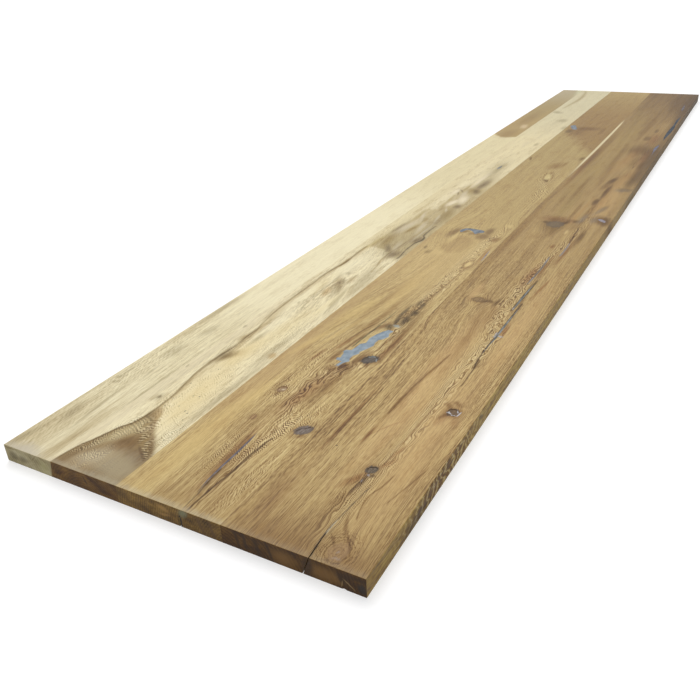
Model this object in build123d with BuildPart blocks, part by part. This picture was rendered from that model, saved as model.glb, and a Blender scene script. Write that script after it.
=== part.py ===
"""Reclaimed hardwood board: four full-length staves, edge-glued into one flat panel.

The board lies flat. X runs along it from the near end to the far end, Y across it, Z up, and the
origin is in the middle of the underside. Every defect is placed by two distances in millimetres:
along, from the near end, and across, from the left edge of the stave that it lies in, as seen by
someone who stands at the near end and looks down the board.
"""

import os

from build123d import *

# Overall sizes
LENGTH = 3000.0
THICKNESS = 27.0
PALE_EDGE_WIDTH = 86.0
PALE_INNER_WIDTH = 122.0
HONEY_INNER_WIDTH = 163.0
BROWN_EDGE_WIDTH = 189.0
WIDTH = PALE_EDGE_WIDTH + PALE_INNER_WIDTH + HONEY_INNER_WIDTH + BROWN_EDGE_WIDTH
ARRIS_RADIUS = 0.8

# Left edge of each stave, across the board
PALE_EDGE = 0.0
PALE_INNER = PALE_EDGE + PALE_EDGE_WIDTH
HONEY_INNER = PALE_INNER + PALE_INNER_WIDTH
BROWN_EDGE = HONEY_INNER + HONEY_INNER_WIDTH

# Hollows that were filled with resin, and the little that the resin sank as it cured
VOID_DEPTH = 11.0
CHECK_DEPTH = 6.0
RESIN_SINK = 0.2

# Dead knots that wore a little below the face
KNOT_DEPTH = 0.8

# Splits along the right edge that were filled: distance of the near tip from the far end, and length
EDGE_SPLIT_START = 1110.0
EDGE_SPLIT_RUN = 155.0
LONG_EDGE_SPLIT_START = 900.0
LONG_EDGE_SPLIT_RUN = 420.0
FAR_EDGE_SPLIT_START = 385.0
FAR_EDGE_SPLIT_RUN = 145.0

# Split that is open through the whole thickness at the near end
SPLIT_LENGTH = 74.0
SPLIT_MOUTH = 1.4
SPLIT_LEAN = 9.5
SPLIT_WANDER = 2.6
SPLIT_ACROSS = 119.5

# Straight shake in the underside, open at the near end
SHAKE_LENGTH = 52.0
SHAKE_WIDTH = 2.4
SHAKE_HEIGHT = 14.5
SHAKE_ACROSS = 100.0

# Small chip out of the lower arris of the near end
CHIP_RADIUS = 5.0
CHIP_OUT = 2.6
CHIP_ACROSS = 162.0

# Small amount by which a cutting shape runs past the face that it opens
PAST = 1.0


def spot(stave, along, across):
    """X and Y of a place given along the board and across one stave."""
    return (along - LENGTH / 2, WIDTH / 2 - stave - across)


def from_far(distance):
    """Distance along the board of a place measured back from the far end."""
    return LENGTH - distance


def part_way(start, run, share):
    """Distance along the board of a place some share of the way down a split."""
    return from_far(start - run * share)


def plank(left, width, right_side=False, left_side=False):
    """One sawn stave with its end arrises eased, and its long ones where it is an outer stave."""
    with BuildPart() as blank:
        with Locations((0, WIDTH / 2 - left - width / 2, THICKNESS / 2)):
            Box(LENGTH, width, THICKNESS)
        eased = blank.edges().filter_by(Axis.Y)
        long_edges = blank.edges().filter_by(Axis.X).sort_by(Axis.Y)
        if left_side:
            eased += long_edges[-2:]
        if right_side:
            eased += long_edges[:2]
        fillet(eased, ARRIS_RADIUS)
    return blank.part


def void_outline(stave, points):
    """Closed curve through a few hand-placed points, for a void."""
    with BuildSketch(Plane.XY.offset(THICKNESS)) as outline:
        with BuildLine():
            Spline(*[spot(stave, along, across) for along, across in points], periodic=True)
        make_face()
    return outline.sketch


def ragged_outline(stave, points):
    """Closed line from corner to corner, for a void with broken edges."""
    with BuildSketch(Plane.XY.offset(THICKNESS)) as outline:
        with BuildLine():
            Polyline(*[spot(stave, along, across) for along, across in points], close=True)
        make_face()
    return outline.sketch


def check_outline(stave, start, middles, finish):
    """Sharp-ended outline of a check: middles holds (along, across, width) between the two tips."""
    upper = [spot(stave, along, across - width / 2) for along, across, width in middles]
    lower = [spot(stave, along, across + width / 2) for along, across, width in middles]
    with BuildSketch(Plane.XY.offset(THICKNESS)) as outline:
        with BuildLine():
            Polyline(spot(stave, *start), *upper, spot(stave, *finish), *reversed(lower), close=True)
        make_face()
    return outline.sketch


# Voids and checks that are filled with resin: node name, left edge of the stave, depth, outline
FILLS = [
    (
        "long_void_fill",
        HONEY_INNER,
        VOID_DEPTH,
        ragged_outline(
            HONEY_INNER,
            [
                (378, 105), (383, 100.5), (394, 102.5), (395.5, 91), (402, 89.5), (405, 95),
                (409, 93.5), (420, 92), (424, 88), (431, 90), (434, 99), (445, 100.5),
                (459, 102), (466, 109), (484, 106.5), (501, 111), (516, 117), (524, 123),
                (522, 133), (511, 130), (500, 134), (488, 129), (483, 123.5), (471, 123),
                (462, 125.5), (446, 120), (433, 114), (428, 116.5), (418, 110.5), (407, 110),
                (399, 114), (391, 108),
            ],
        ),
    ),
    (
        "crescent_knot_fill",
        HONEY_INNER,
        VOID_DEPTH,
        void_outline(
            HONEY_INNER,
            [
                (1040, 54), (1055, 50), (1066, 56), (1071, 68), (1069, 84), (1068, 96),
                (1060, 105), (1051, 103), (1046, 95), (1038, 91), (1047, 83), (1056, 74),
                (1059, 66), (1051, 61),
            ],
        ),
    ),
    (
        "far_knot_fill",
        HONEY_INNER,
        VOID_DEPTH,
        void_outline(
            HONEY_INNER,
            [
                (from_far(812), 36), (from_far(798), 23), (from_far(775), 15),
                (from_far(745), 10), (from_far(736), 18), (from_far(755), 28),
                (from_far(782), 37), (from_far(803), 41),
            ],
        ),
    ),
    (
        "sapwood_check_fill",
        PALE_INNER,
        CHECK_DEPTH,
        check_outline(PALE_INNER, (1590, 77), [(1604, 77, 6), (1616, 77.5, 8), (1628, 77.5, 5)], (1642, 78)),
    ),
    (
        "end_check_fill",
        HONEY_INNER,
        CHECK_DEPTH,
        check_outline(
            HONEY_INNER,
            (32, 101.5),
            [(60, 98, 1.8), (90, 97, 3.2), (122, 97, 3.4), (152, 96, 3)],
            (174, 95),
        ),
    ),
    (
        "seam_check_fill",
        HONEY_INNER,
        CHECK_DEPTH,
        check_outline(
            HONEY_INNER,
            (876, HONEY_INNER_WIDTH - 3),
            [
                (897, HONEY_INNER_WIDTH - 4, 2.2),
                (920, HONEY_INNER_WIDTH - 5.5, 3.2),
                (940, HONEY_INNER_WIDTH - 7, 2),
            ],
            (957, HONEY_INNER_WIDTH - 7.5),
        ),
    ),
    (
        "heart_check_fill",
        BROWN_EDGE,
        CHECK_DEPTH,
        check_outline(
            BROWN_EDGE,
            (496, 133),
            [(540, 133.5, 1.4), (568, 135, 3), (606, 134.5, 4), (650, 134.5, 2.6)],
            (706, 136),
        ),
    ),
    (
        "inner_heart_check_fill",
        BROWN_EDGE,
        CHECK_DEPTH,
        check_outline(
            BROWN_EDGE,
            (686, 127),
            [(704, 127.5, 3), (742, 127.5, 4), (782, 128.5, 2.6)],
            (816, 130),
        ),
    ),
    (
        "edge_knot_fill",
        BROWN_EDGE,
        VOID_DEPTH,
        void_outline(
            BROWN_EDGE,
            [
                (1218, BROWN_EDGE_WIDTH - 15), (1223, BROWN_EDGE_WIDTH - 22),
                (1230, BROWN_EDGE_WIDTH - 28), (1238, BROWN_EDGE_WIDTH - 32),
                (1242, BROWN_EDGE_WIDTH - 27), (1236, BROWN_EDGE_WIDTH - 18),
                (1228, BROWN_EDGE_WIDTH - 13),
            ],
        ),
    ),
    (
        "edge_split_fill",
        BROWN_EDGE,
        CHECK_DEPTH,
        check_outline(
            BROWN_EDGE,
            (from_far(EDGE_SPLIT_START), BROWN_EDGE_WIDTH - 16),
            [
                (part_way(EDGE_SPLIT_START, EDGE_SPLIT_RUN, 0.32), BROWN_EDGE_WIDTH - 17, 3),
                (part_way(EDGE_SPLIT_START, EDGE_SPLIT_RUN, 0.61), BROWN_EDGE_WIDTH - 18, 10),
                (part_way(EDGE_SPLIT_START, EDGE_SPLIT_RUN, 0.77), BROWN_EDGE_WIDTH - 17, 8),
            ],
            (part_way(EDGE_SPLIT_START, EDGE_SPLIT_RUN, 1), BROWN_EDGE_WIDTH - 14),
        ),
    ),
    (
        "long_edge_split_fill",
        BROWN_EDGE,
        CHECK_DEPTH,
        check_outline(
            BROWN_EDGE,
            (from_far(LONG_EDGE_SPLIT_START), BROWN_EDGE_WIDTH - 12),
            [
                (part_way(LONG_EDGE_SPLIT_START, LONG_EDGE_SPLIT_RUN, 0.12), BROWN_EDGE_WIDTH - 13, 7),
                (part_way(LONG_EDGE_SPLIT_START, LONG_EDGE_SPLIT_RUN, 0.29), BROWN_EDGE_WIDTH - 12, 12),
                (part_way(LONG_EDGE_SPLIT_START, LONG_EDGE_SPLIT_RUN, 0.48), BROWN_EDGE_WIDTH - 10, 12),
                (part_way(LONG_EDGE_SPLIT_START, LONG_EDGE_SPLIT_RUN, 0.62), BROWN_EDGE_WIDTH - 11, 6),
                (part_way(LONG_EDGE_SPLIT_START, LONG_EDGE_SPLIT_RUN, 0.81), BROWN_EDGE_WIDTH - 12, 8),
            ],
            (part_way(LONG_EDGE_SPLIT_START, LONG_EDGE_SPLIT_RUN, 1), BROWN_EDGE_WIDTH - 9),
        ),
    ),
    (
        "far_edge_split_fill",
        BROWN_EDGE,
        CHECK_DEPTH,
        check_outline(
            BROWN_EDGE,
            (from_far(FAR_EDGE_SPLIT_START), BROWN_EDGE_WIDTH - 19),
            [
                (part_way(FAR_EDGE_SPLIT_START, FAR_EDGE_SPLIT_RUN, 0.28), BROWN_EDGE_WIDTH - 21, 9),
                (part_way(FAR_EDGE_SPLIT_START, FAR_EDGE_SPLIT_RUN, 0.59), BROWN_EDGE_WIDTH - 23, 6),
            ],
            (part_way(FAR_EDGE_SPLIT_START, FAR_EDGE_SPLIT_RUN, 1), BROWN_EDGE_WIDTH - 24),
        ),
    ),
]

# Dead knots: left edge of the stave, and the outline
KNOTS = [
    (
        HONEY_INNER,
        [
            (193, 144), (199, 141), (205, 144), (210, 150), (215, 156),
            (212, 160), (203, 160), (196, 155), (192, 150),
        ],
    ),
    (
        HONEY_INNER,
        [
            (405, 133), (412, 130.5), (421, 132), (428, 138), (429, 146),
            (424, 153), (417, 150), (410, 145), (406, 139),
        ],
    ),
    (HONEY_INNER, [(274, 59), (280, 56), (287, 57), (291, 62), (289, 68), (281, 68.5), (275, 65)]),
    (
        BROWN_EDGE,
        [(159, 107), (163, 105), (169, 106), (172, 111), (172, 116), (167, 118), (161, 116), (158.5, 112)],
    ),
    (
        BROWN_EDGE,
        [(322, 148), (327, 145.5), (334, 147), (338, 153), (336, 160), (330, 163), (324, 161), (321, 155)],
    ),
]


def cut_fills(stave):
    """Sinks the hollows of one stave's resin fills into the stave being built."""
    for _, owner, depth, outline in FILLS:
        if owner == stave:
            extrude(outline, amount=-depth, mode=Mode.SUBTRACT)


def cut_knots(stave):
    """Sinks the dead knots of the stave being built."""
    for owner, points in KNOTS:
        if owner == stave:
            outline = void_outline(stave, points)
            extrude(outline, amount=-KNOT_DEPTH, mode=Mode.SUBTRACT)


def cut_end_split(stave):
    """Opens the split at the near end: a wandering wedge that leans as it goes down."""
    top, bottom = THICKNESS + PAST, -PAST
    lean = SPLIT_LEAN * (top - bottom) / THICKNESS
    for_level = {}
    for height, shift in ((top, 0), (bottom, lean)):
        middle = SPLIT_ACROSS - shift
        mouth = [spot(stave, -PAST, middle + side * SPLIT_MOUTH / 2) for side in (-1, 1)]
        throat = [
            spot(stave, SPLIT_LENGTH / 2, middle - SPLIT_WANDER + side * SPLIT_MOUTH / 4)
            for side in (-1, 1)
        ]
        tip = spot(stave, SPLIT_LENGTH, middle - SPLIT_WANDER / 2)
        with BuildSketch(Plane.XY.offset(height)) as level:
            with BuildLine():
                Polyline(mouth[0], throat[0], tip, throat[1], mouth[1], close=True)
            make_face()
        for_level[height] = level.sketch
    loft([for_level[top].face(), for_level[bottom].face()], ruled=True, mode=Mode.SUBTRACT)


with BuildPart() as pale_edge_stave:
    add(plank(PALE_EDGE, PALE_EDGE_WIDTH, left_side=True))

with BuildPart() as pale_inner_stave:
    add(plank(PALE_INNER, PALE_INNER_WIDTH))
    cut_fills(PALE_INNER)

with BuildPart() as honey_inner_stave:
    add(plank(HONEY_INNER, HONEY_INNER_WIDTH))
    cut_fills(HONEY_INNER)
    cut_knots(HONEY_INNER)
    with BuildSketch(Plane.XY.offset(-PAST)):
        with BuildLine():
            Polyline(
                spot(HONEY_INNER, -PAST, SHAKE_ACROSS - SHAKE_WIDTH / 2),
                spot(HONEY_INNER, SHAKE_LENGTH, SHAKE_ACROSS),
                spot(HONEY_INNER, -PAST, SHAKE_ACROSS + SHAKE_WIDTH / 2),
                close=True,
            )
        make_face()
    extrude(amount=SHAKE_HEIGHT + PAST, mode=Mode.SUBTRACT)

with BuildPart() as brown_edge_stave:
    add(plank(BROWN_EDGE, BROWN_EDGE_WIDTH, right_side=True))
    cut_fills(BROWN_EDGE)
    cut_knots(BROWN_EDGE)
    cut_end_split(BROWN_EDGE)
    chip_x, chip_y = spot(BROWN_EDGE, -CHIP_OUT, CHIP_ACROSS)
    with Locations((chip_x, chip_y, -CHIP_OUT)):
        Sphere(CHIP_RADIUS, mode=Mode.SUBTRACT)

os.makedirs("parts", exist_ok=True)
for name, stave in (
    ("pale_edge_stave", pale_edge_stave),
    ("pale_inner_stave", pale_inner_stave),
    ("honey_inner_stave", honey_inner_stave),
    ("brown_edge_stave", brown_edge_stave),
):
    stave.part.label = name
    export_step(stave.part, f"parts/{name}.step")

for name, _, depth, outline in FILLS:
    with BuildPart() as fill:
        extrude(outline.moved(Location((0, 0, -depth))), amount=depth - RESIN_SINK)
    fill.part.label = name
    export_step(fill.part, f"parts/{name}.step")
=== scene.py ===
"""Looks of the reclaimed hardwood board.

The wood is shaded in board space, in millimetres: along from the near end, across from the pale
edge, and down from the upper face. Growth rings run round a pith line beside each stave, so that
the faces, the edges and the end grain of a stave all show one piece of timber.
"""

from math import cos, radians, sin

import bpy
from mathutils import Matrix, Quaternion, Vector


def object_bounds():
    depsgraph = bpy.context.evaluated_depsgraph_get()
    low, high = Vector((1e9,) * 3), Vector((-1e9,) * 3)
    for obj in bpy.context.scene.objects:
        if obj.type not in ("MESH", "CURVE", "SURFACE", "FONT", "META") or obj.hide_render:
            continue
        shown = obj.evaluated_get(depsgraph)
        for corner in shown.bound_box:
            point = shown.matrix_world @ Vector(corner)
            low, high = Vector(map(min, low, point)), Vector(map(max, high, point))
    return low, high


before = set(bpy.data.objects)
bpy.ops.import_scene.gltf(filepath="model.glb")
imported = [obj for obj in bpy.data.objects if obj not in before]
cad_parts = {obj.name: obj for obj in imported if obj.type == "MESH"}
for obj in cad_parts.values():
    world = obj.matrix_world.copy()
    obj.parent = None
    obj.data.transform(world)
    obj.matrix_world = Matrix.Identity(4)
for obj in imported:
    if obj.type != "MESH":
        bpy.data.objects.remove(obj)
cad_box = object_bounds()

# Size of the board in millimetres
LENGTH, WIDTH, THICKNESS = (float(round((high - low) * 1000)) for low, high in zip(*cad_box))

# How far the growth rings stray from straight, in long sweeps and in short ones
SWEEP, QUIVER = 26, 2.2
# Streaks of the wood from broad to fine: run along the board, thickness, arc round the pith, detail
STREAKS = ((420, 16, 60, 2), (260, 2.8, 30, 3), (90, 1.05, 14, 2), (12, 0.62, 6, 1))
# How strong the grain shows along the board, as (along, share) points
CALM = [(0, 0.66), (120, 0.84), (260, 1), (650, 0.95), (1050, 0.5), (1500, 0.34), (3000, 0.3)]
# Swirling figure: size of an eddy, how far it pushes the grain aside, and the pitch of its rings
EDDY_SIZE = (27, 11, 12)
EDDY_PUSH = 34
SWIRL_PITCH = 4.8
# Round a knot: reach of the bent grain in half lengths, half widths and millimetres down, and its bend
KNOT_REACH = (4.0, 3.2, 90)
KNOT_BEND = -0.72
# A full turn in radians, rounded
FULL_TURN = 6.28
# Scale at which the wave node draws one line per unit
ONE_WAVE = 0.314
# Wood: specular level, least and most roughness, and height of its bump in metres
WOOD_SHINE = 0.22
WOOD_ROUGH = (0.52, 0.68)
WOOD_RELIEF = 0.0006
# Resin: roughness, and height of its bump in metres
RESIN_ROUGH = 0.55
RESIN_RELIEF = 0.0012

# Camera of the photograph, fitted to the corners and edges of the board: place, turn, lens and sensor
CAMERA_PLACE = (-1.97905, -0.55178, 0.59137)
CAMERA_TURN = (0.732095, 0.451265, -0.245314, -0.447457)
CAMERA_LENS = 37.5287
CAMERA_SENSOR = 36
# The nearest and the farthest thing that the camera shows, in metres
CAMERA_REACH = (0.02, 100)
# Floor: its size in metres, its grey for the light that it throws back and when seen, and its glow
FLOOR_SIZE = 60
FLOOR_DIM, FLOOR_SEEN = (0.3, 0.3, 0.3, 1), (0.65, 0.65, 0.65, 1)
FLOOR_GLOW = 0.45
# Light of the sky where the camera does not look
SKY_LIGHT = 0.42
# Far lamps: strength, spread in radians and the way that they shine
LAMPS = {"key": (1.4, 0.7, (-0.41, -0.34, -0.85)), "fill": (1.35, 1.2, (0.62, 0.62, -0.48))}

VALUE, VECTOR = "NodeSocketFloat", "NodeSocketVector"


def srgb(red, green, blue):
    """Linear colour with alpha of an 8-bit screen colour."""

    def linear(level):
        level /= 255.0
        return level / 12.92 if level <= 0.04045 else ((level + 0.055) / 1.055) ** 2.4

    return (linear(red), linear(green), linear(blue), 1.0)


class Field:
    """A number that varies over a surface: an output socket with arithmetic."""

    def __init__(self, graph, socket):
        self.graph, self.socket = graph, socket

    def __add__(self, other):
        return self.graph.math("ADD", self, other)

    def __sub__(self, other):
        return self.graph.math("SUBTRACT", self, other)

    def __rsub__(self, other):
        return self.graph.math("SUBTRACT", other, self)

    def __mul__(self, other):
        return self.graph.math("MULTIPLY", self, other)

    def __truediv__(self, other):
        return self.graph.math("DIVIDE", self, other)

    def __abs__(self):
        return self.graph.math("ABSOLUTE", self)

    __radd__ = __add__
    __rmul__ = __mul__

    def least(self, other):
        return self.graph.math("MINIMUM", self, other)

    def most(self, other):
        return self.graph.math("MAXIMUM", self, other)

    def ramp(self, start, end):
        """Smoothly from 0 at start to 1 at end. End may be below start."""
        return self.graph.ramp(self, start, end)


class Graph:
    """Adds nodes to one node tree."""

    def __init__(self, tree):
        self.nodes, self.links = tree.nodes, tree.links

    def put(self, socket, value):
        """Sets a socket to a constant, or links it."""
        if isinstance(value, Field):
            value = value.socket
        if isinstance(value, bpy.types.NodeSocket):
            self.links.new(value, socket)
        else:
            socket.default_value = value

    def node(self, kind, inputs, **settings):
        """A new node with its settings and inputs, which are named or numbered."""
        made = self.nodes.new(kind)
        for name, value in settings.items():
            setattr(made, name, value)
        for key, value in inputs.items():
            self.put(made.inputs[key], value)
        return made

    def math(self, operation, *values):
        made = self.node("ShaderNodeMath", dict(enumerate(values)), operation=operation)
        return Field(self, made.outputs[0])

    def ramp(self, value, start, end):
        """Smooth step between two limits."""
        made = self.node(
            "ShaderNodeMapRange",
            {"Value": value, "From Min": start, "From Max": end},
            interpolation_type="SMOOTHSTEP",
        )
        return Field(self, made.outputs[0])

    def join(self, x, y, z=0.0):
        """A vector of three numbers."""
        return self.node("ShaderNodeCombineXYZ", {0: x, 1: y, 2: z}).outputs[0]

    def stretch(self, vector, size, tilt=0.0):
        """The vector turned by tilt degrees, in units of size."""
        settings = {"Vector": vector, "Rotation": (0, 0, radians(tilt)), "Scale": size}
        return self.node("ShaderNodeMapping", settings, vector_type="TEXTURE").outputs[0]

    def length(self, vector):
        made = self.node("ShaderNodeVectorMath", {0: vector}, operation="LENGTH")
        return Field(self, made.outputs["Value"])

    def dot(self, one, other):
        made = self.node("ShaderNodeVectorMath", {0: one, 1: other}, operation="DOT_PRODUCT")
        return Field(self, made.outputs["Value"])

    def noise(self, vector, detail, rough=0.5):
        """Soft noise round 0.5, one feature per unit."""
        settings = {"Vector": vector, "Scale": 1.0, "Detail": detail, "Roughness": rough}
        made = self.node("ShaderNodeTexNoise", settings)
        return Field(self, made.outputs[0])

    def waves(self, vector, distort, detail, detail_scale):
        """Wavering parallel lines across X, one per unit, from 0 to 1."""
        made = self.node(
            "ShaderNodeTexWave",
            {
                "Vector": vector, "Scale": ONE_WAVE, "Distortion": distort,
                "Detail": detail, "Detail Scale": detail_scale,
            },
        )
        return Field(self, made.outputs["Fac"])

    def mix(self, amount, under, over, mode="MIX"):
        """The colour over laid on the colour under by amount."""
        made = self.node("ShaderNodeMix", {0: amount, 6: under, 7: over}, data_type="RGBA", blend_type=mode)
        return made.outputs[2]

    def palette(self, value, places, colours):
        """The colour at value of a smooth scale, which has a screen colour at each place."""
        made = self.node("ShaderNodeValToRGB", {0: value})
        scale = made.color_ramp
        while len(scale.elements) < len(places):
            scale.elements.new(0.5)
        for stop, place, colour in zip(scale.elements, places, colours):
            stop.position, stop.color = place, srgb(*colour)
        return made.outputs[0]

    def curve(self, value, points):
        """A smooth line through (place, height) points, read at value."""
        first, last = points[0][0], points[-1][0]
        low, high = min(h for _, h in points), max(h for _, h in points)
        high = max(high, low + 0.001)
        made = self.node("ShaderNodeFloatCurve", {"Value": (value - first) / (last - first)})
        line = made.mapping.curves[0]
        while len(line.points) < len(points):
            line.points.new(0.5, 0.5)
        for knot, (place, height) in zip(line.points, points):
            knot.location = ((place - first) / (last - first), (height - low) / (high - low))
        made.mapping.update()
        return Field(self, made.outputs[0]) * (high - low) + low

    def use(self, tree, inputs):
        """A group node. Its number outputs come back as fields and the rest as sockets."""
        made = self.node("ShaderNodeGroup", {}, node_tree=tree)
        for key, value in inputs.items():
            self.put(made.inputs[key], value)
        found = [Field(self, o) if o.type == "VALUE" else o for o in made.outputs]
        return found[0] if len(found) == 1 else found


def group(name, inputs, outputs, build):
    """A shared effect as a node group. build gets the graph and the inputs and returns the outputs."""
    tree = bpy.data.node_groups.new(name, "ShaderNodeTree")
    for label, kind in inputs:
        tree.interface.new_socket(label, in_out="INPUT", socket_type=kind)
    for label, kind in outputs:
        tree.interface.new_socket(label, in_out="OUTPUT", socket_type=kind)
    graph = Graph(tree)
    source = tree.nodes.new("NodeGroupInput").outputs
    sink = tree.nodes.new("NodeGroupOutput").inputs
    given = [Field(graph, s) if kind == VALUE else s for s, (_, kind) in zip(source, inputs)]
    for i, value in enumerate(build(graph, *given)):
        graph.put(sink[i], value)
    return tree


def build_board_space(graph):
    """The place in millimetres: along, across and down. Then three sizes of noise round 0."""
    place = graph.node("ShaderNodeTexCoord", {}).outputs["Object"]
    settings = {
        "Vector": place,
        "Location": (LENGTH / 2, WIDTH / 2, THICKNESS),
        "Scale": (1000, -1000, -1000),
    }
    mapped = graph.node("ShaderNodeMapping", settings).outputs[0]
    numbers = graph.node("ShaderNodeSeparateXYZ", {0: mapped}).outputs
    cloud = graph.noise(graph.stretch(mapped, (70, 17, 24)), detail=2) - 0.5
    rag = graph.noise(graph.stretch(mapped, (12, 3.2, 5)), detail=3) - 0.5
    fleck = graph.noise(graph.stretch(mapped, (2.6, 1.7, 2)), detail=2) - 0.5
    return [mapped, *numbers, cloud, rag, fleck]


board_space = group(
    "board space",
    [],
    [("Place", VECTOR)] + [(n, VALUE) for n in ("Along", "Across", "Down", "Cloud", "Rag", "Fleck")],
    build_board_space,
)


def build_timber(graph, along, across, down, pith_across, pith_down, seed):
    """Distance from the pith, and four sizes of streak that follow the growth rings."""
    wander = (graph.noise(graph.join(along / 520, across / 150, seed), detail=1) - 0.5) * SWEEP
    quiver = (graph.noise(graph.join(along / 80, across / 18, seed + 7), detail=2) - 0.5) * QUIVER
    reach = across - pith_across + wander + quiver
    drop = down - pith_down
    radius = graph.math("SQRT", reach * reach + drop * drop)
    turn = graph.math("ARCTAN2", drop, reach) * 70
    layers = [radius]
    for run, thick, arc, detail in STREAKS:
        place = graph.join(along / run, radius / thick, turn / arc + seed)
        layers.append(graph.noise(place, detail=detail, rough=0.65))
    return layers


timber = group(
    "timber",
    [(n, VALUE) for n in ("Along", "Across", "Down", "Pith across", "Pith down", "Seed")],
    [(n, VALUE) for n in ("Radius", "Broad", "Streak", "Thread", "Pore")],
    build_timber,
)


def build_blot(graph, place, centre, long_way, short_way, ragged, soft):
    """A patch with a ragged soft edge: 1 inside and 0 outside."""
    offset = graph.node("ShaderNodeVectorMath", {0: place, 1: centre}, operation="SUBTRACT").outputs[0]
    far = [graph.dot(offset, way) for way in (long_way, short_way)]
    reach = graph.math("SQRT", far[0] * far[0] + far[1] * far[1]) + ragged
    return [reach.ramp(soft + 1, 1 - soft)]


blot_group = group(
    "blot",
    [
        *[(n, VECTOR) for n in ("Place", "Centre", "Long way", "Short way")],
        *[(n, VALUE) for n in ("Ragged", "Soft")],
    ],
    [("Mask", VALUE)],
    build_blot,
)


def build_ripple(graph, place, size, turn):
    """Short wavering lines round 0, as where the grain dips and rises."""
    turned = graph.node(
        "ShaderNodeMapping", {"Vector": place, "Rotation": turn, "Scale": size}, vector_type="TEXTURE"
    )
    lines = graph.waves(turned.outputs[0], 5.0, 2.0, 0.9) - 0.5
    patchy = graph.noise(graph.stretch(place, (15, 9, 9)), detail=2)
    return [lines * patchy.ramp(0.3, 0.62)]


ripple_group = group(
    "ripple", [(n, VECTOR) for n in ("Place", "Size", "Turn")], [("Lines", VALUE)], build_ripple
)


def build_knot(graph, place, centre, spread, long_way, short_way, ragged):
    """A knot: how far the grain is pushed aside round it, and the distance from its middle in radii."""
    offset = graph.node("ShaderNodeVectorMath", {0: place, 1: centre}, operation="SUBTRACT").outputs[0]
    aside = Field(graph, graph.node("ShaderNodeSeparateXYZ", {0: offset}).outputs[1])
    shrunk = graph.node("ShaderNodeVectorMath", {0: offset, 1: spread}, operation="DIVIDE")
    far = graph.length(shrunk.outputs[0])
    near = [graph.dot(offset, way) for way in (long_way, short_way)]
    reach = graph.math("SQRT", near[0] * near[0] + near[1] * near[1]) + ragged
    return [aside * far.ramp(1, 0) * KNOT_BEND, reach]


knot_group = group(
    "knot",
    [(n, VECTOR) for n in ("Place", "Centre", "Spread", "Long way", "Short way")] + [("Ragged", VALUE)],
    [("Shift", VALUE), ("Reach", VALUE)],
    build_knot,
)


def new_material(name):
    """A material with a Principled shader, its graph and the shader."""
    material = bpy.data.materials.new(name)
    material.use_nodes = True
    material.node_tree.nodes.clear()
    graph = Graph(material.node_tree)
    shader = graph.node("ShaderNodeBsdfPrincipled", {})
    graph.node("ShaderNodeOutputMaterial", {0: shader.outputs[0]})
    return material, graph, shader


# Tints that multiply what is under them, as 8-bit screen colours
UMBER = (196, 178, 156)
SMOKE = (210, 206, 198)
DRIFT = (216, 206, 188)
BARK = (184, 166, 148)
OLIVE = (230, 224, 200)
GREY = (176, 172, 166)
KHAKI = (218, 208, 176)
RUST = (196, 162, 134)
HAZE = (224, 210, 194)
LOAM = (160, 142, 122)
SMUDGE = (158, 138, 118)
PEAT = (150, 132, 112)
# Colours that cover
SAND = (228, 211, 162)
STRAW = (236, 220, 170)
CREAM = (240, 230, 194)
INK = (64, 56, 48)
DUST = (190, 182, 160)

PLANES = {"top": (0, 1), "side": (0, 2), "end": (1, 2)}


def lay(first, second, plane="top"):
    """The vector in board space of two numbers in one of its planes."""
    vector = [0.0, 0.0, 0.0]
    vector[PLANES[plane][0]], vector[PLANES[plane][1]] = first, second
    return vector


def ways(half_length, half_width, tilt, plane="top"):
    """The two vectors that measure a tilted ellipse in one plane."""
    lean = radians(tilt)
    return (
        lay(cos(lean) / half_length, sin(lean) / half_length, plane),
        lay(-sin(lean) / half_width, cos(lean) / half_width, plane),
    )


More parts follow.
